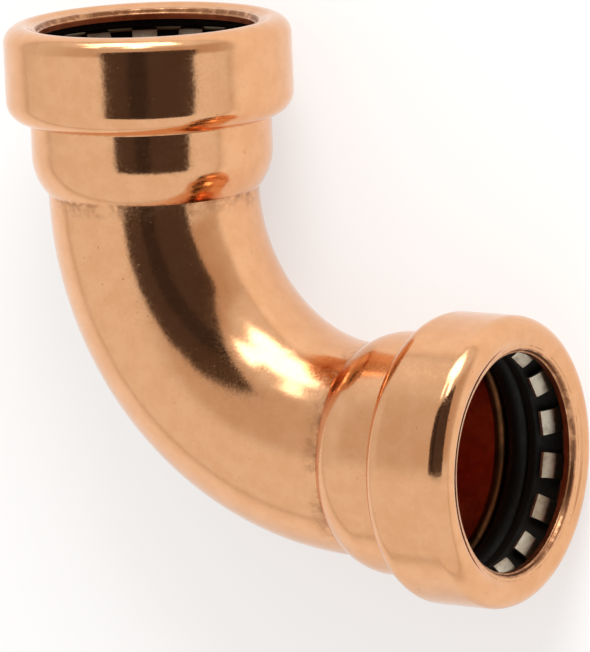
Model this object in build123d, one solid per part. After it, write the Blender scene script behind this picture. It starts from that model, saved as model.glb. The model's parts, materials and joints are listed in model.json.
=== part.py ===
from build123d import *
import math
import os

# Push-fit elbow, 90 degrees, for 28 mm round tube. All sizes are in millimetres.
# It lies on its side as it comes to rest: on the rear edges of its two bells and on the underside
# of the bend. The origin is on the floor, under the middle of its box, and +Z is up. Seen from
# above, one socket opens towards +X and the other towards +Y, and both point slightly upwards.

# The tube that goes in
tube_size_radius = 14.0
bore_clearance = 0.1
tooth_bite = 0.1
seal_squeeze = 0.1

# The bent middle of the elbow
bend_radius = 32.5
bend_tube_radius = 13.8
bend_wall = 1.4
taper_length = 4.3

# The socket that guides the tube
socket_wall = 1.7
guide_length = 5.3
entry_rounding = 1.2

# The bell that holds the rings
bell_wall = 1.35
rear_wall = 1.55
rear_shoulder = 2.9
front_wall = 1.4
front_rounding = 2.4
front_corner = 0.3
rear_corner_share = 0.45
face_dish = 0.55
edge_step_depth = 0.5
edge_step_height = 0.22
edge_step_draft = 0.12
edge_rounding = 0.25

# The rings inside the bell
o_ring_section = 3.55
ring_clearance = 0.05
support_ring_width = 1.3
support_ring_setback = 2.4
support_ring_chamfer_share = 0.25
grab_ring_sheet = 0.45
tooth_count = 16
tooth_length = 2.8
tooth_width = 3.3
tooth_knee = 1.5
root_slope = 20.0
tip_slope = 39.0
tooth_phase = 9.2
spacer_width = 3.7
spacer_bore_clearance = 0.3
spacer_tooth_gap = 0.3
spacer_land = 1.2
spacer_chamfer = 0.3

# Radii that follow from the tube
bore_radius = tube_size_radius + bore_clearance
socket_radius = bore_radius + socket_wall
bend_bore_radius = bend_tube_radius - bend_wall
seal_inner_radius = tube_size_radius - seal_squeeze
tooth_tip_radius = tube_size_radius - tooth_bite
chamber_radius = seal_inner_radius + o_ring_section + ring_clearance
bell_radius = chamber_radius + bell_wall
ring_outer_radius = chamber_radius - ring_clearance
support_ring_bore = bore_radius + support_ring_setback
grab_ring_root = tooth_tip_radius + tooth_length
rear_round = min(rear_shoulder, bell_radius - socket_radius)

# Heights along a socket, measured from the tube stop towards the mouth
crease_height = -taper_length
chamber_floor = guide_length + rear_wall
o_ring_height = chamber_floor + ring_clearance + o_ring_section / 2
spacer_floor = o_ring_height + o_ring_section / 2 + ring_clearance
grab_ring_floor = spacer_floor + spacer_width + ring_clearance
support_ring_floor = grab_ring_floor + grab_ring_sheet + ring_clearance
chamber_roof = support_ring_floor + support_ring_width + ring_clearance
mouth_height = chamber_roof + front_wall
crest_height = mouth_height + face_dish

# Distances from the crossing of the two sockets' axes
stop_distance = bend_radius + taper_length
rear_edge_distance = stop_distance + guide_length + rear_round
front_edge_distance = stop_distance + crest_height - front_rounding
bend_middle_distance = bend_radius * (math.sqrt(2) - 1)

# The tilt at which the floor touches both rounded rear edges and the middle of the bend's
# underside. Its sine is the positive root of a quadratic.
rear_edge_radius = bell_radius - rear_round
lever = rear_edge_distance / math.sqrt(2) - bend_middle_distance
tube_excess = bend_tube_radius - rear_round
square_term = lever**2 + rear_edge_radius**2 / 2
linear_term = 2 * lever * tube_excess
constant_term = tube_excess**2 - rear_edge_radius**2
discriminant = linear_term**2 - 4 * square_term * constant_term
tilt_sine = (math.sqrt(discriminant) - linear_term) / (2 * square_term)
tilt_cosine = math.sqrt(1 - tilt_sine**2)


def mouth_reach(share):
    """How far a mouth's rounded rim reaches from the crossing, in a direction with this share
    along the socket's axis."""
    front_edge_radius = bell_radius - front_rounding
    across = front_edge_radius * math.sqrt(1 - share**2)
    return front_edge_distance * share + across + front_rounding


# The crossing's place over the floor, with the middle of the box at x = y = 0
away_share = (1 + tilt_cosine) / 2
aside_share = (1 - tilt_cosine) / 2
crossing_place = (mouth_reach(aside_share) - mouth_reach(away_share)) / 2
crossing_height = bend_tube_radius - bend_middle_distance * tilt_sine
rise = tilt_sine / math.sqrt(2)
lying_plane = Plane(
    origin=(crossing_place, crossing_place, crossing_height),
    x_dir=(away_share, -aside_share, rise),
    z_dir=(-rise, -rise, tilt_cosine),
)

# Each socket's own frame: its tube stop, with +Z out of the mouth
socket_frames = {
    "x": Plane(origin=(stop_distance, 0, 0), x_dir=(0, 1, 0), z_dir=(1, 0, 0)),
    "y": Plane(origin=(0, stop_distance, 0), x_dir=(1, 0, 0), z_dir=(0, 1, 0)),
}
socket_places = {
    end: lying_plane.location * frame.location for end, frame in socket_frames.items()
}


def turned(edges):
    """A ring turned about +Z from the closed outline of its section, drawn as (radius, height)."""
    section = Plane.XZ * make_face(edges)
    return revolve(section, Axis.Z)


def outer_outline():
    """The copper's outside, from the crease up to the crest of the mouth, as edges and its end."""
    crease = (bend_tube_radius, crease_height)
    taper_end = (socket_radius, 0)
    neck = (socket_radius, guide_length)
    shoulder_start = (bell_radius - rear_round, guide_length)
    shoulder_end = (bell_radius, guide_length + rear_round)
    front_start = (bell_radius, crest_height - front_rounding)
    crest = (bell_radius - front_rounding, crest_height)
    edges = [TangentArc(taper_end, crease, tangent=(0, -1)), Line(taper_end, neck)]
    if bell_radius - rear_round > socket_radius:
        edges.append(Line(neck, shoulder_start))
    edges.append(TangentArc(shoulder_start, shoulder_end, tangent=(1, 0)))
    edges.append(Line(shoulder_end, front_start))
    edges.append(TangentArc(front_start, crest, tangent=(0, 1)))
    return edges, crease, crest


def lip_outline(crest):
    """The dished face and the stepped edge left by rolling the mouth in, down to the bore."""
    step_radius = bore_radius + edge_step_height
    step_floor = mouth_height - edge_step_depth
    face_end = (step_radius + edge_step_draft + edge_rounding, mouth_height)
    step_top = (step_radius + edge_step_draft, mouth_height - edge_rounding)
    step_bottom = (step_radius, step_floor)
    land_top = (bore_radius, step_floor - edge_step_height)
    # The face starts level at the crest, so it ends at twice its chord's slope
    face_fall = 2 * math.atan(face_dish / (crest[0] - face_end[0]))
    falling = (-math.cos(face_fall), -math.sin(face_fall))
    edges = [
        TangentArc(crest, face_end, tangent=(-1, 0)),
        TangentArc(face_end, step_top, tangent=falling),
        Line(step_top, step_bottom),
        TangentArc(step_bottom, land_top, tangent=(-1, 0)),
    ]
    return edges, land_top


def chamber_outline(land_top):
    """The inside of the bell, the guiding bore and the narrowing at the tube stop."""
    rear_corner = min(rear_shoulder - bell_wall, o_ring_section * rear_corner_share)
    roof_inner = (bore_radius, chamber_roof)
    roof_outer = (chamber_radius - front_corner, chamber_roof)
    wall_top = (chamber_radius, chamber_roof - front_corner)
    wall_bottom = (chamber_radius, chamber_floor + rear_corner)
    floor_outer = (chamber_radius - rear_corner, chamber_floor)
    floor_inner = (bore_radius + entry_rounding, chamber_floor)
    bore_top = (bore_radius, chamber_floor - entry_rounding)
    stop = (bore_radius, 0)
    throat = (bend_bore_radius, crease_height)
    edges = [
        Line(land_top, roof_inner),
        Line(roof_inner, roof_outer),
        TangentArc(roof_outer, wall_top, tangent=(1, 0)),
        Line(wall_top, wall_bottom),
        TangentArc(wall_bottom, floor_outer, tangent=(0, -1)),
        Line(floor_outer, floor_inner),
        TangentArc(floor_inner, bore_top, tangent=(-1, 0)),
        Line(bore_top, stop),
        TangentArc(stop, throat, tangent=(0, -1)),
    ]
    return edges, throat


def socket():
    """One end of the elbow, from the crease at the bend to the mouth."""
    outside, crease, crest = outer_outline()
    lip, land_top = lip_outline(crest)
    inside, throat = chamber_outline(land_top)
    return turned(outside + lip + inside + [Line(throat, crease)])


def bend():
    """The quarter turn of tube between the two creases."""
    crease_plane = Plane(origin=(bend_radius, 0, 0), x_dir=(0, 1, 0), z_dir=(-1, 0, 0))
    section = crease_plane * (Circle(bend_tube_radius) - Circle(bend_bore_radius))
    turning_axis = Axis((bend_radius, bend_radius, 0), (0, 0, -1))
    return revolve(section, turning_axis, revolution_arc=90)


def elbow_body():
    """The one-piece copper elbow: two rolled sockets joined by the bend."""
    body = bend()
    for frame in socket_frames.values():
        body += frame * socket()
    return lying_plane * body


def o_ring():
    """The seal in its free, round section, at the bottom of the bell."""
    section_centre = (seal_inner_radius + o_ring_section / 2, o_ring_height)
    section = Plane.XZ * (Pos(*section_centre) * Circle(o_ring_section / 2))
    return revolve(section, Axis.Z)


def tooth_drop(radius):
    """How far the teeth's lower face lies below the grab ring's rim at a radius."""
    knee_radius = grab_ring_root - tooth_knee
    root_run = grab_ring_root - max(radius, knee_radius)
    tip_run = max(knee_radius - radius, 0)
    root_drop = root_run * math.tan(math.radians(root_slope))
    return root_drop + tip_run * math.tan(math.radians(tip_slope))


def spacer_ring():
    """The plastic ring between the seal and the grab ring, coned to follow the teeth."""
    inner_radius = tube_size_radius + spacer_bore_clearance
    cone_foot = (inner_radius, spacer_floor + spacer_land)
    rim_top = spacer_floor + spacer_width
    cone_top = (grab_ring_root + spacer_tooth_gap, rim_top)
    corners = [
        (inner_radius, spacer_floor + spacer_chamfer),
        (inner_radius + spacer_chamfer, spacer_floor),
        (ring_outer_radius, spacer_floor),
        (ring_outer_radius, rim_top),
        cone_top,
        cone_foot,
    ]
    return turned(Polyline(*corners, close=True))


def grab_ring():
    """The sprung steel ring whose teeth bite the tube: a flat rim and bent-down teeth."""
    rim_top = grab_ring_floor + grab_ring_sheet
    rim = turned(
        Polyline(
            (grab_ring_root, grab_ring_floor),
            (ring_outer_radius, grab_ring_floor),
            (ring_outer_radius, rim_top),
            (grab_ring_root, rim_top),
            close=True,
        )
    )
    knee_radius = grab_ring_root - tooth_knee
    profile = [
        (grab_ring_root, grab_ring_floor),
        (knee_radius, grab_ring_floor - tooth_drop(knee_radius)),
        (tooth_tip_radius, grab_ring_floor - tooth_drop(tooth_tip_radius)),
    ]
    upper_side = [(radius, height + grab_ring_sheet) for radius, height in reversed(profile)]
    root_lap = (grab_ring_root + grab_ring_sheet, grab_ring_floor)
    root_lap_top = (grab_ring_root + grab_ring_sheet, rim_top)
    cone = turned(Polyline(root_lap, *profile, *upper_side, root_lap_top, close=True))
    blade_length = grab_ring_root + 2 * grab_ring_sheet
    blade = Pos(blade_length / 2, 0, rim_top) * Box(blade_length, tooth_width, blade_length)
    tooth = cone & blade
    ring = rim
    for index in range(tooth_count):
        ring += Rot(0, 0, tooth_phase + index * 360 / tooth_count) * tooth
    return ring


def support_ring():
    """The narrow ring that backs the grab ring's rim against the rolled-in front wall."""
    top = support_ring_floor + support_ring_width
    chamfer = (ring_outer_radius - support_ring_bore) * support_ring_chamfer_share
    return turned(
        Polyline(
            (support_ring_bore + chamfer, support_ring_floor),
            (ring_outer_radius, support_ring_floor),
            (ring_outer_radius, top - chamfer),
            (ring_outer_radius - chamfer, top),
            (support_ring_bore, top),
            (support_ring_bore, support_ring_floor + chamfer),
            close=True,
        )
    )


def write_part(node, solid):
    """One STEP file for one piece, named after the piece."""
    solid.label = node
    export_step(solid, os.path.join("parts", node + ".step"))


os.makedirs("parts", exist_ok=True)
write_part("elbow_body", elbow_body())
for end, place in socket_places.items():
    # The +Y end is the mirror image of the +X end, so its teeth are counted the other way
    grip = grab_ring() if end == "x" else mirror(grab_ring(), Plane.XZ)
    write_part("o_ring_" + end, place * o_ring())
    write_part("spacer_ring_" + end, place * spacer_ring())
    write_part("grab_ring_" + end, place * grip)
    write_part("support_ring_" + end, place * support_ring())
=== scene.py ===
import json
import math

import bmesh
import bpy
import numpy as np
from mathutils import Matrix, Vector


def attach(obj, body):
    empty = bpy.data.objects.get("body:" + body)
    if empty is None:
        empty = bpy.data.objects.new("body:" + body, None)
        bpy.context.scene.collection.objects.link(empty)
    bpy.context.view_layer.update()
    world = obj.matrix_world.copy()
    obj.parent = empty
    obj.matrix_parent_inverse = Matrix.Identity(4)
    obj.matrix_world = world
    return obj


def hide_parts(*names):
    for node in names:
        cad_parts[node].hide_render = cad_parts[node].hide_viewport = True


# A push-fit elbow of polished copper, lying on its side.
# Sizes are in millimetres unless a name says otherwise.
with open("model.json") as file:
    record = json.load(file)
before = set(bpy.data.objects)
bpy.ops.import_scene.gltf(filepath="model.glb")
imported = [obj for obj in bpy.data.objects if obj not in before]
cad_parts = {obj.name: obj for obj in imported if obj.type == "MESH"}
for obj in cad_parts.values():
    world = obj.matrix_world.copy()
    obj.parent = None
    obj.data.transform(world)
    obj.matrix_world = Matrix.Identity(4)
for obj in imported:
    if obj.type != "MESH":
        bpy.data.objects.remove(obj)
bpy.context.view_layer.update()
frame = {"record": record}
MM = 0.001

# The elbow's own frame, found from the two bores
mounts = {mount["name"]: mount for mount in frame["record"]["mounts"]}
stop_x = Vector(mounts["socket_x"]["pos_m"]) / MM
stop_y = Vector(mounts["socket_y"]["pos_m"]) / MM
bore_radius = mounts["socket_x"]["dims"]["r_mm"]
along_x = Vector(mounts["socket_x"]["axis"]).normalized()
upright = along_x.cross(Vector(mounts["socket_y"]["axis"])).normalized()
along_y = upright.cross(along_x)
stop_distance = (stop_x - stop_y).length / math.sqrt(2)
crossing = (stop_x - along_x * stop_distance + stop_y - along_y * stop_distance) / 2
elbow_axes = np.array([along_x, along_y, upright])

# The copper
bend_radius = 32.5
bend_tube_radius = 13.8
bend_wall = 1.4
taper_length = stop_distance - bend_radius
taper_start = 0.9
socket_radius = 15.8
guide_length = 5.3
bell_radius = 18.85
rear_round = 2.9
neck_round = 0.2
chamber_radius = 17.5
chamber_floor = 6.85
chamber_roof = 16.1
chamber_corner = 1.55
roof_corner = 0.3
entry_round = 1.2
mouth_height = 17.5
crest_height = 18.05
front_round = 2.4
edge_step = 0.22
edge_draft = 0.12
edge_round = 0.25
edge_depth = 0.5
face_inner_run = 1.01
face_inner_rise = 0.36
step_radius = bore_radius + edge_step
step_floor = mouth_height - edge_depth

# The rings
ring_radius = 17.45
seal_height = 8.675
seal_section = 3.55
spacer_floor = 10.5
spacer_roof = 14.2
spacer_bore = 14.3
spacer_land = 1.2
spacer_rim = 17.0
spacer_round = 0.3
grab_floor = 14.25
grab_sheet = 0.45
grab_round = 0.06
grab_root = 16.7
grab_tip = 13.9
support_floor = 14.75
support_roof = 16.05
support_bore = 16.5
support_round = 0.25

# The teeth, whose tips drop more steeply at the end along Y
grab_knee = {"x": 15.2, "y": 16.0}
knee_soft = 0.12
root_slope = 20.0
tip_slope = {"x": 39.0, "y": 48.0}
tip_curl = {"x": 0.08, "y": -0.25}
tooth_count = 16
tooth_width = 3.3
tooth_phase = 9.2
tooth_overlap = 0.3
nose_round = 0.06
nose_share = 0.12
side_bevel = (0.03, 0.09)
side_pull = (0.12, 0.03)

# How finely the meshes are stepped
STEPS_AROUND = 180
BEND_STEPS = 96
TAPER_STEPS = 18
THROAT_STEPS = 12
CORNER_STEPS = 5
INNER_ROUND_STEPS = 10
OUTER_ROUND_STEPS = 20
FACE_STEPS = 12
EDGE_STEPS = 8
SEAL_STEPS = 48
ROOT_STEPS = 4
TIP_STEPS = 8
SOFT_CORNER_STEPS = 4

# How the meshes are joined and shaded
SAME_POINT = 1e-6
WELD_DISTANCE = 0.001
CREASE_ANGLE = 28
SEAL_CREASE_ANGLE = 60
STEEL_CREASE_ANGLE = 20
CORNER_REACH = 0.45
OUTER_FINISH = 0
# The faces inside the mouths and the bore take the copper painted with shade
INNER_SHADED_FINISH = 1


def arc(centre, radius, start, end, steps):
    """Points of an arc in a section, as (radius, height), with angles in degrees."""
    angles = np.radians(np.linspace(start, end, steps + 1))
    return [(centre[0] + radius * math.cos(a), centre[1] + radius * math.sin(a)) for a in angles]


def straight(start, end, pieces=1, margin=0.12):
    """Points of a straight run, with one more close to each end so that rounded neighbours shade well."""
    a = np.array(start)
    b = np.array(end)
    length = np.linalg.norm(b - a)
    shares = [0.0, *np.linspace(0, 1, pieces + 1)[1:-1], 1.0]
    if length > 4 * margin:
        shares = sorted({*shares, margin / length, 1 - margin / length})
    return [tuple(a + (b - a) * share) for share in shares]


def joined(*runs):
    """One row of section points from several runs, without doubled points."""
    points = []
    for run in runs:
        for point in run:
            if not points or math.dist(points[-1], point) > SAME_POINT:
                points.append(point)
    return points


def bent(start, end, heading, steps):
    """Points of the arc that leaves start at this heading, in degrees, and runs to end."""
    chord = np.subtract(end, start)
    length = np.linalg.norm(chord)
    half_turn = math.atan2(chord[1], chord[0]) - math.radians(heading)
    half_turn = (half_turn + math.pi) % (2 * math.pi) - math.pi
    points = []
    for share in np.linspace(0, 1, steps + 1):
        way = math.radians(heading) + half_turn * share
        reach = length * math.sin(half_turn * share) / math.sin(half_turn)
        points.append((start[0] + reach * math.cos(way), start[1] + reach * math.sin(way)))
    return points


def lip_face(crest):
    """The dished face from its crest to the mouth's edge, and the step behind the edge."""
    face_end = step_radius + edge_draft + edge_round
    face_middle = (face_end + face_inner_run, mouth_height + face_inner_rise)
    edge_top = (step_radius + edge_draft, mouth_height - edge_round)
    outer_slope = math.atan2(crest[1] - face_middle[1], crest[0] - face_middle[0])
    middle_fall = math.degrees(2 * outer_slope)
    end_fall = math.degrees(2 * math.atan2(face_inner_rise, face_inner_run)) - middle_fall
    return joined(
        bent(crest, face_middle, 180, FACE_STEPS),
        bent(face_middle, (face_end, mouth_height), 180 + middle_fall, FACE_STEPS),
        bent((face_end, mouth_height), edge_top, 180 + end_fall, EDGE_STEPS),
        straight(edge_top, (step_radius, step_floor)),
        arc((step_radius, step_floor - edge_step), edge_step, 90, 180, CORNER_STEPS),
    )


def outer_section():
    """The copper's outer side at a socket, from the crease over the mouth to the lip's land."""
    crease = (bend_tube_radius, -taper_length)
    taper_top = (socket_radius, taper_start)
    neck_centre = (socket_radius + neck_round, guide_length - neck_round)
    rear_centre = (bell_radius - rear_round, guide_length + rear_round)
    front_centre = (bell_radius - front_round, crest_height - front_round)
    return joined(
        bent(taper_top, crease, -90, TAPER_STEPS)[::-1],
        straight(taper_top, (socket_radius, neck_centre[1]), pieces=4),
        arc(neck_centre, neck_round, 180, 90, CORNER_STEPS),
        arc(rear_centre, rear_round, -90, 0, OUTER_ROUND_STEPS),
        straight((bell_radius, rear_centre[1]), (bell_radius, front_centre[1]), pieces=6),
        arc(front_centre, front_round, 0, 90, OUTER_ROUND_STEPS),
        lip_face((front_centre[0], crest_height)),
    )


def inner_section():
    """The copper's inner side at a socket, from the lip's land through the chamber to the throat."""
    floor_outer = (chamber_radius - chamber_corner, chamber_floor + chamber_corner)
    roof_centre = (chamber_radius - roof_corner, chamber_roof - roof_corner)
    entry_centre = (bore_radius + entry_round, chamber_floor - entry_round)
    return joined(
        straight((bore_radius, step_floor - edge_step), (bore_radius, chamber_roof)),
        straight((bore_radius, chamber_roof), (roof_centre[0], chamber_roof)),
        arc(roof_centre, roof_corner, 90, 0, CORNER_STEPS),
        straight((chamber_radius, roof_centre[1]), (chamber_radius, floor_outer[1])),
        arc(floor_outer, chamber_corner, 0, -90, INNER_ROUND_STEPS),
        straight((floor_outer[0], chamber_floor), (entry_centre[0], chamber_floor)),
        arc(entry_centre, entry_round, 90, 180, INNER_ROUND_STEPS),
        straight((bore_radius, entry_centre[1]), (bore_radius, 0), pieces=3),
        bent((bore_radius, 0), (bend_tube_radius - bend_wall, -taper_length), -90, THROAT_STEPS),
    )


def turned_grid(section):
    """Section points swept round +Z: an array of steps by points by 3."""
    angles = np.linspace(0, 2 * np.pi, STEPS_AROUND, endpoint=False)[:, None]
    radii = np.array([point[0] for point in section])[None]
    heights = np.array([point[1] for point in section])[None]
    return np.stack([radii * np.cos(angles), radii * np.sin(angles), heights + 0 * angles], -1)


def grid_faces(rows, columns, wrap_columns, start, wrap_rows=True):
    """Quads between neighbouring rows and columns of a grid, whose first point has this number."""
    faces = []
    last_row = rows if wrap_rows else rows - 1
    last_column = columns if wrap_columns else columns - 1
    for row in range(last_row):
        next_row = (row + 1) % rows
        for column in range(last_column):
            next_column = (column + 1) % columns
            faces.append(
                (
                    start + row * columns + column,
                    start + next_row * columns + column,
                    start + next_row * columns + next_column,
                    start + row * columns + next_column,
                )
            )
    return faces


def in_socket(points, end):
    """Points of a socket's own frame, +Z out of the mouth, carried into the elbow's axes."""
    across = points[..., 0]
    above = points[..., 1]
    ahead = points[..., 2] + stop_distance
    if end == "x":
        return np.stack([ahead, across, above], -1)
    return np.stack([across, ahead, above], -1)


def in_row(points):
    """Points in the elbow's axes, in millimetres, carried into the model's frame, in metres."""
    return (np.array(crossing) + points @ elbow_axes) * MM


def mesh_object(name, points, faces, sharp_angle=CREASE_ANGLE, finishes=None):
    """A mesh object with outward normals, smooth apart from its sharp corners. The finishes are
    the faces' material numbers."""
    mesh = bpy.data.meshes.new(name)
    mesh.from_pydata([tuple(point) for point in points.reshape(-1, 3)], [], faces)
    if finishes:
        mesh.polygons.foreach_set("material_index", finishes)
    work = bmesh.new()
    work.from_mesh(mesh)
    bmesh.ops.remove_doubles(work, verts=work.verts, dist=WELD_DISTANCE * MM)
    bmesh.ops.recalc_face_normals(work, faces=work.faces)
    work.to_mesh(mesh)
    work.free()
    thing = bpy.data.objects.new(name, mesh)
    bpy.context.collection.objects.link(thing)
    mesh.shade_smooth()
    mesh.set_sharp_from_angle(angle=math.radians(sharp_angle))
    return thing


def bend_grid(tube_radius):
    """The quarter turn of tube, as a grid of steps round the tube by steps along the bend."""
    around = np.linspace(0, 2 * np.pi, STEPS_AROUND, endpoint=False)[:, None]
    turn = np.linspace(0, np.pi / 2, BEND_STEPS + 1)[None]
    distance = bend_radius + tube_radius * np.cos(around)
    x = bend_radius - distance * np.sin(turn)
    y = bend_radius - distance * np.cos(turn)
    z = tube_radius * np.sin(around) + 0 * turn
    return np.stack([x, y, z], -1)


def copper_elbow():
    """The one-piece copper elbow, as one closed skin."""
    outside = turned_grid(outer_section())
    inside = turned_grid(inner_section())
    parts = []
    for end in ("x", "y"):
        parts.append((in_socket(outside, end), OUTER_FINISH))
        parts.append((in_socket(inside, end), INNER_SHADED_FINISH))
    parts.append((bend_grid(bend_tube_radius), OUTER_FINISH))
    parts.append((bend_grid(bend_tube_radius - bend_wall), INNER_SHADED_FINISH))
    faces = []
    finishes = []
    start = 0
    for part, finish in parts:
        new_faces = grid_faces(part.shape[0], part.shape[1], False, start)
        faces += new_faces
        finishes += [finish] * len(new_faces)
        start += part.shape[0] * part.shape[1]
    points = np.concatenate([part.reshape(-1, 3) for part, finish in parts])
    return mesh_object("copper_elbow", in_row(points), faces, finishes=finishes)


def ring_object(name, section, end, sharp_angle=CREASE_ANGLE):
    """A ring with a closed section, at one end of the elbow."""
    grid = turned_grid(section)
    faces = grid_faces(grid.shape[0], grid.shape[1], True, 0)
    return mesh_object(name, in_row(in_socket(grid, end)), faces, sharp_angle)


def softened(corners, size, steps=SOFT_CORNER_STEPS):
    """The closed section through these corners, each one rounded by a small curve."""
    points = []
    count = len(corners)
    for index in range(count):
        here = np.array(corners[index], float)
        ends = []
        for other in (corners[index - 1], corners[(index + 1) % count]):
            side = np.array(other, float) - here
            length = np.linalg.norm(side)
            ends.append(here + side / length * min(size, length * CORNER_REACH))
        for share in np.linspace(0, 1, steps + 1):
            curve = (1 - share) ** 2 * ends[0] + 2 * share * (1 - share) * here + share**2 * ends[1]
            points.append(tuple(curve))
    return points


def seal(end):
    """The rubber seal, round in section."""
    half = seal_section / 2
    section = arc((grab_tip + half, seal_height), half, 0, 360, SEAL_STEPS)[:-1]
    return ring_object("seal_" + end, section, end, SEAL_CREASE_ANGLE)


def spacer(end):
    """The plastic ring between the seal and the teeth."""
    corners = [
        (spacer_bore, spacer_floor),
        (ring_radius, spacer_floor),
        (ring_radius, spacer_roof),
        (spacer_rim, spacer_roof),
        (spacer_bore, spacer_floor + spacer_land),
    ]
    return ring_object("spacer_" + end, softened(corners, spacer_round), end)


def support(end):
    """The ring that backs the teeth against the rolled-in front wall."""
    corners = [
        (support_bore, support_floor),
        (ring_radius, support_floor),
        (ring_radius, support_roof),
        (support_bore, support_roof),
    ]
    return ring_object("support_" + end, softened(corners, support_round), end)


def tooth_height(radius, end):
    """The height of the teeth's lower face at a radius."""
    radius = min(radius, grab_root)
    root_run = grab_root - max(radius, grab_knee[end])
    tip_run = max(grab_knee[end] - radius, 0)
    curl = tip_curl[end] * tip_run * (grab_knee[end] - grab_tip - tip_run)
    root_fall = root_run * math.tan(math.radians(root_slope))
    tip_fall = tip_run * math.tan(math.radians(tip_slope[end]))
    return grab_floor - (root_fall + tip_fall) + curl


def tooth_section(end):
    """A tooth's closed section: its under side from root to tip, its nose and back along the top."""
    knee = grab_knee[end]
    root_part = np.linspace(grab_root, knee + knee_soft, ROOT_STEPS)
    tip_part = np.linspace(knee - knee_soft, grab_tip, TIP_STEPS)
    reach = [grab_root + tooth_overlap, *root_part, knee, *tip_part]
    lower = [(radius, tooth_height(radius, end)) for radius in reach]
    upper = [(radius, height + grab_sheet) for radius, height in reversed(lower)]
    tip_low = lower[-1]
    tip_high = upper[0]
    nose = [
        (tip_low[0] + nose_round, tip_low[1]),
        (tip_low[0], tip_low[1] + grab_sheet * nose_share),
        (tip_low[0], tip_low[1] + grab_sheet * (1 - nose_share)),
        (tip_high[0] + nose_round, tip_high[1]),
    ]
    return lower[:-1] + nose + upper[1:]


def tooth_strip(angle, end):
    """One bent tooth as a grid: across its width by round its section."""
    section = np.array(tooth_section(end))
    middle = np.array([(radius, tooth_height(radius, end) + grab_sheet / 2) for radius, _ in section])
    half = tooth_width / 2
    across = [-half, side_bevel[0] - half, side_bevel[1] - half, 0]
    across += [half - side_bevel[1], half - side_bevel[0], half]
    pulls = [*side_pull, 0, 0, 0, *reversed(side_pull)]
    rows = []
    for place, pull in zip(across, pulls):
        row = section + (middle - section) * pull
        rows.append(np.stack([row[:, 0], np.full(len(row), place), row[:, 1]], -1))
    turn = Matrix.Rotation(math.radians(angle), 3, "Z")
    return np.array(rows) @ np.array(turn).T


def grab(end):
    """The toothed steel ring: a flat rim and its bent teeth."""
    corners = [
        (grab_root, grab_floor),
        (ring_radius, grab_floor),
        (ring_radius, grab_floor + grab_sheet),
        (grab_root, grab_floor + grab_sheet),
    ]
    rim = turned_grid(softened(corners, grab_round, steps=2))
    points = [rim.reshape(-1, 3)]
    faces = grid_faces(rim.shape[0], rim.shape[1], True, 0)
    start = rim.shape[0] * rim.shape[1]
    for index in range(tooth_count):
        grid = tooth_strip(tooth_phase + index * 360 / tooth_count, end)
        rows, columns = grid.shape[:2]
        last = start + (rows - 1) * columns
        faces += grid_faces(rows, columns, True, start, wrap_rows=False)
        faces.append(tuple(reversed(range(start, start + columns))))
        faces.append(tuple(range(last, last + columns)))
        points.append(grid.reshape(-1, 3))
        start += rows * columns
    places = in_row(in_socket(np.concatenate(points), end))
    return mesh_object("grab_" + end, places, faces, STEEL_CREASE_ANGLE)


# Colours, as linear red, green and blue
COPPER_CLEAN = (0.82, 0.440, 0.230)
COPPER_DULL = (0.78, 0.402, 0.198)
# The next colour darkens the dirt specks and pits, and is also the painted shade on the mouths' inner edges
COPPER_DIRT_AND_SHADE = (0.20, 0.075, 0.035)
# The inner copper colours are painted shade: darker and redder for the dark inside of the bore
INNER_SHADED_RED = (0.66, 0.200, 0.085)
INNER_SHADED_BROWN = (0.52, 0.145, 0.060)
# Painted shade on the entry ring deep inside the chamber
ENTRY_SHADE = (0.07, 0.036, 0.014)
STEEL_CLEAN = (0.62, 0.555, 0.44)
STEEL_STAINED = (0.40, 0.35, 0.26)
# Painted shade on the teeth's root facets, which face away from the light
STEEL_ROOT_SHADE = (0.30, 0.27, 0.18)
RUBBER_BLACK = (0.0040, 0.0034, 0.0026)
PLASTIC_BLACK = (0.0060, 0.0048, 0.0034)
FLOOR_NEAR = (0.92, 0.915, 0.91)
# The far floor colour is painted shade: the floor greys off well outside the view
FLOOR_FAR = (0.76, 0.735, 0.71)
OPENING_BROWN = (0.078, 0.057, 0.049)
OPENING_DARK = (0.040, 0.030, 0.026)
WALL_WARM = (1.0, 0.78, 0.62)
WHITE = (1.0, 1.0, 1.0)

# Marks on the copper: the middle, half width and fade of each band, and its strength
# Darker bands along the creases, under the bell and just past the crease
crease_band = (-taper_length - 0.1, 0.08, 0.45)
crease_strength = 0.7
neck_band = (guide_length, 0.03, 0.30)
neck_strength = 0.6
cloud_band = (-taper_length - 0.8, 0.2, 1.4)
cloud_strength = 0.40
roll_band = (15.1, 0.02, 0.16)
roll_heights = (17.0, 17.3)
roll_strength = 0.45
# The inner edge of each mouth: stain with painted shade that darkens its reflected highlight
edge_stain_and_shade_band = (14.4, 0.15, 0.35)
edge_stain_and_shade_heights = (16.2, 16.6)
edge_stain_and_shade_strengths = (0.45, 1.0)
speck_strength = 0.6
dirt_and_shade_cover = 0.8
dirt_and_shade_roughness = 0.25

# The unevenness of the surfaces, in millimetres
drawn_depth = 0.040
grain_depth = 0.008
mark_depth = -0.008
inner_depth = 0.006
steel_depth = 0.004

# Painted shade: the darker entry ring inside the chamber, and the darker root facets of the teeth
entry_shade_band = (chamber_floor - 0.5, 0.7, 0.3)
entry_shade_cover = (1.0, 0.86)
root_wave = 1.2
root_fade = (0.05, 0.35)
root_heights = (-5, 0)
root_shade_cover = 0.85

# Roughness of the surfaces, from its lowest to its highest, and the run of noise that it follows
polished = (0.08, 0.21)
inner_dull = (0.30, 0.44)
steel_dull = (0.32, 0.44)
rubber_dull = (0.42, 0.58)
plastic_dull = (0.50, 0.66)
most_noise = (0.3, 0.7)

# Rubber and plastic
dust_gain = 1.8
dust_lift = 0.003
dark_specular = 0.25


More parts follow.
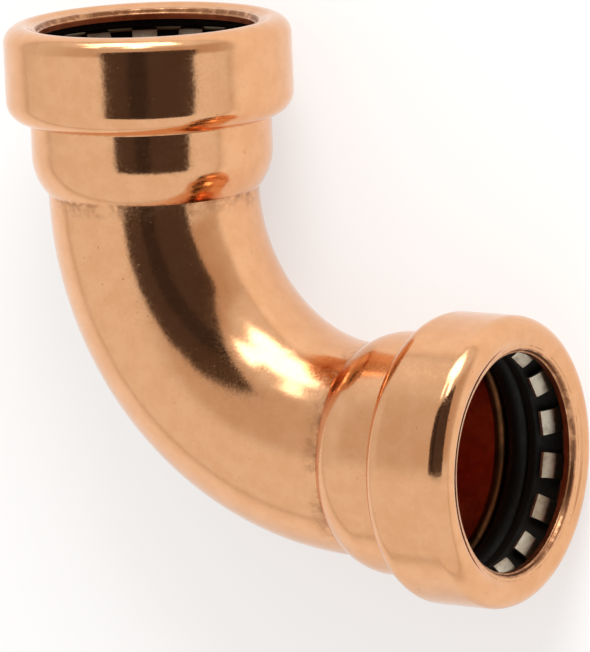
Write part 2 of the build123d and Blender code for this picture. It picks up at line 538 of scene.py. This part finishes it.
class Shader:
    """A small helper to write node trees in few lines."""

    def __init__(self, tree):
        self.tree = tree
        tree.nodes.clear()

    def node(self, kind, settings=None, **inputs):
        """A new node, with its settings and the values of its sockets."""
        made = self.tree.nodes.new(kind)
        for key, value in (settings or {}).items():
            setattr(made, key, value)
        for key, value in inputs.items():
            self.put(made, key.replace("_", " "), value)
        return made

    def put(self, made, key, value):
        """Joins a socket to another one, or gives it a constant value."""
        socket = made.inputs[int(key)] if str(key).isdigit() else made.inputs[key]
        if isinstance(value, bpy.types.NodeSocket):
            self.tree.links.new(value, socket)
        else:
            socket.default_value = value

    def math(self, operation, *values, clamp=False):
        made = self.node("ShaderNodeMath", {"operation": operation, "use_clamp": clamp})
        for index, value in enumerate(values):
            self.put(made, index, value)
        return made.outputs[0]

    def vector(self, operation, *values):
        made = self.node("ShaderNodeVectorMath", {"operation": operation})
        for index, value in enumerate(values):
            self.put(made, index, value)
        return made.outputs["Value" if operation in ("DOT_PRODUCT", "LENGTH", "DISTANCE") else "Vector"]

    def ramp(self, value, low, high, to_low=0.0, to_high=1.0):
        """A smooth run from to_low at low to to_high at high, held beyond both."""
        made = self.node("ShaderNodeMapRange", {"interpolation_type": "SMOOTHSTEP", "clamp": True})
        for index, number in enumerate((value, low, high, to_low, to_high)):
            self.put(made, index, number)
        return made.outputs[0]

    def band(self, value, middle, half_width, fade):
        """1 within half_width of middle, falling to 0 over fade."""
        away = self.math("ABSOLUTE", self.math("SUBTRACT", value, middle))
        return self.ramp(away, half_width, half_width + fade, 1, 0)

    def mix(self, factor, first, second):
        """The first colour where the factor is 0 and the second where it is 1."""
        made = self.node("ShaderNodeMix", {"data_type": "RGBA"})
        self.put(made, 0, factor)
        # Sockets 6 and 7 are the node's two colours
        for index, colour in ((6, first), (7, second)):
            self.put(made, index, colour if isinstance(colour, bpy.types.NodeSocket) else (*colour, 1.0))
        return made.outputs[2]

    def noise(self, place, scale, detail=2.0, roughness=0.5):
        made = self.node("ShaderNodeTexNoise", Vector=place, Scale=scale, Detail=detail, Roughness=roughness)
        return made.outputs["Fac"]

    def bump(self, height, depth, normal=None):
        """A normal tilted by a height map, whose depth is in millimetres."""
        made = self.node("ShaderNodeBump", Height=height, Distance=depth * MM, Strength=1.0)
        if normal is not None:
            self.put(made, "Normal", normal)
        return made.outputs["Normal"]


def new_material(name):
    material = bpy.data.materials.new(name)
    material.use_nodes = True
    return material, Shader(material.node_tree)


def finish_surface(shader, surface):
    """Joins a finished surface to the material's output."""
    output = shader.node("ShaderNodeOutputMaterial")
    shader.put(output, "Surface", surface.outputs[0])


def millimetres(shader):
    """The object's own coordinates, in millimetres."""
    place = shader.node("ShaderNodeTexCoord").outputs["Object"]
    made = shader.node("ShaderNodeVectorMath", {"operation": "SCALE"})
    shader.put(made, 0, place)
    shader.put(made, "Scale", 1 / MM)
    return made.outputs[0]


def socket_place(s, place, along):
    """A point's height over a socket's tube stop and its distance from the socket's axis."""
    from_crossing = s.vector("SUBTRACT", place, crossing)
    reach = s.vector("DOT_PRODUCT", from_crossing, along)
    length = s.vector("LENGTH", from_crossing)
    squares = s.math("SUBTRACT", s.math("POWER", length, 2.0), s.math("POWER", reach, 2.0))
    return s.math("SUBTRACT", reach, stop_distance), s.math("SQRT", squares)


def worn_lines(s, place):
    """Darker bands along the creases and under the bell, and the forming marks round the lip."""
    lines = 0.0
    for along in (along_x, along_y):
        height, aside = socket_place(s, place, along)
        crease = s.math("MULTIPLY", s.band(height, *crease_band), crease_strength)
        neck = s.math("MULTIPLY", s.band(height, *neck_band), neck_strength)
        cloud = s.math("MULTIPLY", s.band(height, *cloud_band), cloud_strength)
        on_face = s.ramp(height, *roll_heights, 0, roll_strength)
        roll = s.math("MULTIPLY", s.band(aside, *roll_band), on_face)
        for mark in (crease, cloud, neck, roll):
            lines = s.math("MAXIMUM", lines, mark)
    patches = s.ramp(s.noise(place, scale=0.25, detail=3.0, roughness=0.6), 0.38, 0.58)
    ragged = s.ramp(s.noise(place, scale=0.9, detail=5.0, roughness=0.6), 0.34, 0.62)
    return s.math("MULTIPLY", lines, s.math("MULTIPLY", patches, ragged))


def stained_edge(s, place):
    """The brown stain and painted shade on the inner edge of each mouth, which darken and dull its
    reflection.
    """
    edge = 0.0
    for along in (along_x, along_y):
        height, aside = socket_place(s, place, along)
        here = s.math("MULTIPLY", s.band(aside, *edge_stain_and_shade_band), s.ramp(height, *edge_stain_and_shade_heights))
        edge = s.math("MAXIMUM", edge, here)
    cloudy = s.noise(place, scale=0.7, detail=4.0, roughness=0.6)
    return s.math("MULTIPLY", edge, s.ramp(cloudy, 0.34, 0.56, *edge_stain_and_shade_strengths))


def copper_marks(s, place):
    """All the marks on the outer copper: dirt specks and pits, darker bands at the creases, forming marks,
    and the stained edges with their painted shade.
    """
    specks = s.ramp(s.noise(place, scale=1.1, detail=5.0, roughness=0.7), 0.66, 0.74)
    pits = s.ramp(s.noise(place, scale=2.6, detail=2.0), 0.72, 0.78)
    spots = s.math("MULTIPLY", s.math("MAXIMUM", specks, pits), speck_strength)
    marks = s.math("MAXIMUM", worn_lines(s, place), spots)
    return s.math("MAXIMUM", marks, stained_edge(s, place))


def metal_surface(s, colour, roughness, normal):
    """A metal surface from its three maps."""
    surface = s.node("ShaderNodeBsdfPrincipled")
    s.put(surface, "Metallic", 1.0)
    s.put(surface, "Base Color", colour)
    s.put(surface, "Roughness", roughness)
    s.put(surface, "Normal", normal)
    finish_surface(s, surface)


def copper_material():
    """Polished copper with pits, specks, forming marks, darker bands at the creases, painted shade on the
    mouths' inner edges and a fine unevenness from drawing.
    """
    material, s = new_material("polished_copper")
    place = millimetres(s)
    mottling = s.noise(place, scale=0.35, detail=5.0, roughness=0.65)
    fine = s.noise(place, scale=3.2, detail=3.0, roughness=0.6)
    marks = copper_marks(s, place)
    tint = s.mix(s.ramp(mottling, 0.36, 0.64), COPPER_CLEAN, COPPER_DULL)
    # Dirt, darker crease bands and painted shade on the mouths' edges darken the copper here
    colour = s.mix(s.math("MULTIPLY", marks, dirt_and_shade_cover), tint, COPPER_DIRT_AND_SHADE)
    polish = s.ramp(fine, 0.3, 0.8, *polished)
    roughness = s.math("ADD", polish, s.math("MULTIPLY", marks, dirt_and_shade_roughness))
    drawn = s.bump(s.noise(place, scale=0.22, detail=1.0), drawn_depth)
    grain = s.bump(s.noise(place, scale=1.6, detail=5.0, roughness=0.65), grain_depth, drawn)
    metal_surface(s, colour, roughness, s.bump(marks, mark_depth, grain))
    return material


def inner_copper_material():
    """The copper inside the mouths and the bore, duller than the outside, with painted shade: darker and
    redder for the dark inside.
    """
    material, s = new_material("inner_copper")
    place = millimetres(s)
    shade_mottling = s.ramp(s.noise(place, scale=0.5, detail=4.0, roughness=0.6), 0.35, 0.65)
    # A painted shade ring at the chamber's entry, broken up by noise
    ring = 0.0
    for along in (along_x, along_y):
        height, _ = socket_place(s, place, along)
        ring = s.math("MAXIMUM", ring, s.band(height, *entry_shade_band))
    broken = s.ramp(s.noise(place, scale=0.12, detail=3.0, roughness=0.6), 0.40, 0.58, *entry_shade_cover)
    ring = s.math("MULTIPLY", ring, broken)
    colour = s.mix(ring, s.mix(shade_mottling, INNER_SHADED_RED, INNER_SHADED_BROWN), ENTRY_SHADE)
    roughness = s.ramp(s.noise(place, scale=2.0, detail=3.0), *most_noise, *inner_dull)
    uneven = s.bump(s.noise(place, scale=1.4, detail=3.0, roughness=0.6), inner_depth)
    metal_surface(s, colour, roughness, uneven)
    return material


def browned_roots(s, place):
    """1 on the teeth's root facets, with a wavy border, and 0 on their tips: where shade is painted."""
    uneven = s.math("SUBTRACT", s.noise(place, scale=0.8), 0.5)
    wave = s.math("MULTIPLY", uneven, root_wave)
    root_shade = 0.0
    for end, along in (("x", along_x), ("y", along_y)):
        height, aside = socket_place(s, place, along)
        borders = [grab_knee[end] + fade for fade in root_fade]
        root = s.ramp(s.math("ADD", aside, wave), *borders)
        near = s.ramp(height, *root_heights)
        root_shade = s.math("MAXIMUM", root_shade, s.math("MULTIPLY", root, near))
    return root_shade


def steel_material():
    """Stamped stainless steel, slightly brushed and stained, with painted shade on the teeth's root facets.
    """
    material, s = new_material("spring_steel")
    place = millimetres(s)
    stains = s.ramp(s.noise(place, scale=0.9, detail=3.0, roughness=0.55), 0.40, 0.75)
    colour = s.mix(stains, STEEL_CLEAN, STEEL_STAINED)
    # Painted shade on the root facets
    roots = s.math("MULTIPLY", browned_roots(s, place), root_shade_cover)
    colour = s.mix(roots, colour, STEEL_ROOT_SHADE)
    roughness = s.ramp(s.noise(place, scale=5.0), *most_noise, *steel_dull)
    uneven = s.bump(s.noise(place, scale=3.5, detail=3.0, roughness=0.6), steel_depth)
    metal_surface(s, colour, roughness, uneven)
    return material


def dark_material(name, colour, roughness, grain_scale, depth):
    """Rubber or moulded plastic, nearly black, with a fine grain and a little dust. The roughness
    is its lowest and its highest."""
    material, s = new_material(name)
    place = millimetres(s)
    dust = s.ramp(s.noise(place, scale=2.6, detail=4.0, roughness=0.6), 0.5, 0.8)
    dusty = tuple(value * dust_gain + dust_lift for value in colour)
    surface = s.node("ShaderNodeBsdfPrincipled")
    s.put(surface, "Base Color", s.mix(dust, colour, dusty))
    s.put(surface, "Specular IOR Level", dark_specular)
    s.put(surface, "Roughness", s.ramp(s.noise(place, scale=1.2), *most_noise, *roughness))
    s.put(surface, "Normal", s.bump(s.noise(place, scale=grain_scale, detail=3.0), depth))
    finish_surface(s, surface)
    return material


copper = copper_material()
inner_copper = inner_copper_material()
steel = steel_material()
rubber = dark_material("seal_rubber", RUBBER_BLACK, rubber_dull, grain_scale=6.0, depth=0.004)
plastic = dark_material("ring_plastic", PLASTIC_BLACK, plastic_dull, grain_scale=9.0, depth=0.006)


def dress(thing, node, slot, *materials):
    """Gives a finished piece its materials and its place on the part."""
    for material in materials:
        thing.data.materials.append(material)
    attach(thing, "root")
    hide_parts(node)


dress(copper_elbow(), "elbow_body", "copper", copper, inner_copper)
for end in ("x", "y"):
    dress(seal(end), "o_ring_" + end, "seal_rubber", rubber)
    dress(spacer(end), "spacer_ring_" + end, "ring_plastic", plastic)
    dress(grab(end), "grab_ring_" + end, "spring_steel", steel)
    dress(support(end), "support_ring_" + end, "ring_plastic", plastic)


# The floor
floor_reach = 3000.0
near_floor = 80
far_floor = 420
floor_glow = 0.55


def floor_material():
    """A plain white floor that shows white and still takes the elbow's shadow. Well outside the view it is
    painted a little greyer, painted shade standing in for light falling off."""
    material, s = new_material("white_floor")
    light_path = s.node("ShaderNodeLightPath")
    seen = s.math("ADD", light_path.outputs["Is Camera Ray"], light_path.outputs["Is Glossy Ray"])
    seen = s.math("ADD", seen, light_path.outputs["Is Transmission Ray"], clamp=True)
    # Painted falloff of light: greyer away from the elbow
    nearness = s.ramp(s.vector("LENGTH", millimetres(s)), near_floor, far_floor, 1, 0)
    diffuse = s.node("ShaderNodeBsdfDiffuse")
    s.put(diffuse, "Color", s.mix(nearness, FLOOR_FAR, FLOOR_NEAR))
    glow = s.node("ShaderNodeEmission", Strength=1.0)
    s.put(glow, "Color", s.mix(nearness, FLOOR_FAR, WHITE))
    blend = s.node("ShaderNodeMixShader")
    s.put(blend, 0, s.math("MULTIPLY", seen, floor_glow))
    s.put(blend, 1, diffuse.outputs[0])
    s.put(blend, 2, glow.outputs[0])
    finish_surface(s, blend)
    return material


def flat_sheet(name, material, left, right, low, high):
    """A flat rectangle in its own X and Y, from its four edges in millimetres."""
    corners = [(left, low), (right, low), (right, high), (left, high)]
    points = [(across * MM, along * MM, 0) for across, along in corners]
    mesh = bpy.data.meshes.new(name)
    mesh.from_pydata(points, [], [(0, 1, 2, 3)])
    mesh.materials.append(material)
    thing = bpy.data.objects.new(name, mesh)
    bpy.context.collection.objects.link(thing)
    return thing


def floor():
    """A wide plain floor at height 0."""
    edges = (-floor_reach, floor_reach)
    thing = flat_sheet("floor", floor_material(), *edges, *edges)


# The camera, placed in the elbow's axes
camera_place = np.array([502.97, 177.906, 729.202])
camera_right = np.array([0.83779, -0.04046, -0.54449])
camera_down = np.array([0.06623, -0.98235, 0.17491])
camera_forward = np.array([-0.54196, -0.1826, -0.82033])
picture_height = 652
focal_pixels = 6849.29
sensor_long_side = 36.0

# The dark opening of the light tent, measured in the camera's directions from the crossing
opening_nearness = 115.0
opening_left = -78.0
opening_right = 77.0
opening_low = -22.0
opening_high = 87.0
opening_fade = 10.0

opening_stripe = (-34, -26, -6, 4)

# The overhead lamp, placed from the crossing
lamp_right = 0.05
lamp_up = 0.80
lamp_front = 0.60
lamp_distance = 600.0
lamp_size = 260.0
lamp_power = 1.8

# The tent's walls: the turns to the right and the climbs over which they change, in degrees
left_turn = (-55, -90)
left_level = (0.70, 0.82)
right_turn = (42, 95)
right_level = (0.62, 0.80)
front_turn = (-20, 20)
low_climb = (-14, 0)
low_level = 0.92
high_climb = (38, 55)
high_level = 0.90
warm_levels = (0.55, 0.84)

# The bright panel overhead: a sheet and two strips that reach lower
sheet_climb = (55, 64)
sheet_end_climb = (76, 85)
sheet_end_level = 0.06
sheet_turn = (-28, 52, 14)
strip_climb = (44, 50)
side_strip = (-57, 4, 6)
side_strip_level = 0.7
front_strip = (-13, 8, 6)
panel_strength = 3.6


def wall_level(s, turn, climb):
    """How bright the tent's walls are in a direction, in degrees to the right and up from the front."""
    left = s.ramp(turn, *left_turn, *left_level)
    right = s.ramp(turn, *right_turn, *right_level)
    left_part = s.math("MULTIPLY", s.ramp(turn, *front_turn, 1, 0), left)
    right_part = s.math("MULTIPLY", s.ramp(turn, *front_turn), right)
    walls = s.math("ADD", left_part, right_part)
    below = s.ramp(climb, *low_climb, 1, 0)
    above = s.ramp(climb, *high_climb)
    for share, level in ((below, low_level), (above, high_level)):
        lift = s.math("MULTIPLY", share, s.math("SUBTRACT", level, walls))
        walls = s.math("ADD", walls, lift)
    return walls


def panel_level(s, turn, climb):
    """How much brighter the overhead panel is than the walls."""
    sheet_end = s.ramp(climb, *sheet_end_climb, 1, sheet_end_level)
    sheet = s.math("MULTIPLY", s.ramp(climb, *sheet_climb), sheet_end)
    sheet = s.math("MULTIPLY", sheet, s.band(turn, *sheet_turn))
    side = s.math("MULTIPLY", s.band(turn, *side_strip), side_strip_level)
    strips = s.math("ADD", side, s.band(turn, *front_strip))
    strips = s.math("MULTIPLY", strips, s.ramp(climb, *strip_climb))
    return s.math("MULTIPLY", s.math("MAXIMUM", sheet, strips), panel_strength)


def studio_light():
    """A white light tent with a bright panel overhead."""
    world = bpy.data.worlds.new("studio")
    world.use_nodes = True
    bpy.context.scene.world = world
    s = Shader(world.node_tree)
    way = s.node("ShaderNodeTexCoord").outputs["Generated"]
    to_right = s.vector("DOT_PRODUCT", way, Vector(camera_right @ elbow_axes))
    to_up = s.vector("DOT_PRODUCT", way, Vector(-camera_down @ elbow_axes))
    to_front = s.vector("DOT_PRODUCT", way, Vector(-camera_forward @ elbow_axes))
    turn = s.math("MULTIPLY", s.math("ARCTAN2", to_right, to_front), 180 / math.pi)
    climb = s.math("MULTIPLY", s.math("ARCSINE", to_up), 180 / math.pi)
    walls = wall_level(s, turn, climb)
    background = s.node("ShaderNodeBackground")
    s.put(background, "Color", s.mix(s.ramp(walls, *warm_levels), WALL_WARM, WHITE))
    s.put(background, "Strength", s.math("ADD", walls, panel_level(s, turn, climb)))
    output = s.node("ShaderNodeOutputWorld")
    s.put(output, "Surface", background.outputs[0])


def overhead_lamp():
    """A large soft lamp over the top of the view. It lights the floor and casts the soft shadow,
    and the copper doesn't mirror it."""
    data = bpy.data.lights.new("overhead_lamp", "AREA")
    data.shape = "SQUARE"
    data.size = lamp_size * MM
    data.energy = lamp_power
    thing = bpy.data.objects.new("overhead_lamp", data)
    bpy.context.collection.objects.link(thing)
    lamp_way = lamp_right * camera_right - lamp_up * camera_down - lamp_front * camera_forward
    way = Vector(lamp_way / np.linalg.norm(lamp_way) @ elbow_axes)
    thing.location = Vector(in_row(np.zeros(3))) + way * lamp_distance * MM
    thing.rotation_euler = way.to_track_quat("Z", "Y").to_euler()
    thing.visible_glossy = False


def opening_material():
    """Dim and brownish, with a darker stripe, and soft towards its left edge."""
    material, s = new_material("dark_opening")
    across = s.node("ShaderNodeSeparateXYZ", Vector=millimetres(s)).outputs["X"]
    stripe_end = s.ramp(across, *opening_stripe[2:], 1, 0)
    stripe = s.math("MULTIPLY", s.ramp(across, *opening_stripe[:2]), stripe_end)
    dim = s.node("ShaderNodeEmission", Strength=1.0)
    s.put(dim, "Color", s.mix(stripe, OPENING_BROWN, OPENING_DARK))
    clear = s.node("ShaderNodeBsdfTransparent")
    blend = s.node("ShaderNodeMixShader")
    s.put(blend, 0, s.ramp(across, opening_left, opening_left + opening_fade))
    s.put(blend, 1, clear.outputs[0])
    s.put(blend, 2, dim.outputs[0])
    finish_surface(s, blend)
    return material


def dark_opening():
    """The opening the photograph is taken through, which the copper mirrors."""
    edges = (opening_left, opening_right, opening_low, opening_high)
    thing = flat_sheet("dark_opening", opening_material(), *edges)
    thing.matrix_world = camera_pose(-camera_forward * opening_nearness)
    thing.visible_camera = False
    thing.visible_diffuse = False
    thing.visible_shadow = False


def camera_pose(place):
    """A matrix that looks as the camera does, at a place in the elbow's axes."""
    right = Vector(camera_right @ elbow_axes).normalized()
    back = -Vector(camera_forward @ elbow_axes).normalized()
    up = back.cross(right).normalized()
    pose = Matrix((up.cross(back), up, back)).transposed().to_4x4()
    pose.translation = Vector(in_row(place))
    return pose


def camera():
    """The camera at the photograph's place and angle."""
    data = bpy.data.cameras.new("camera")
    data.sensor_width = sensor_long_side
    data.lens = focal_pixels / picture_height * sensor_long_side
    thing = bpy.data.objects.new("camera", data)
    bpy.context.collection.objects.link(thing)
    thing.matrix_world = camera_pose(camera_place)
    bpy.context.scene.camera = thing


floor()
studio_light()
dark_opening()
overhead_lamp()
camera()
bpy.context.scene.view_settings.view_transform = "Standard"
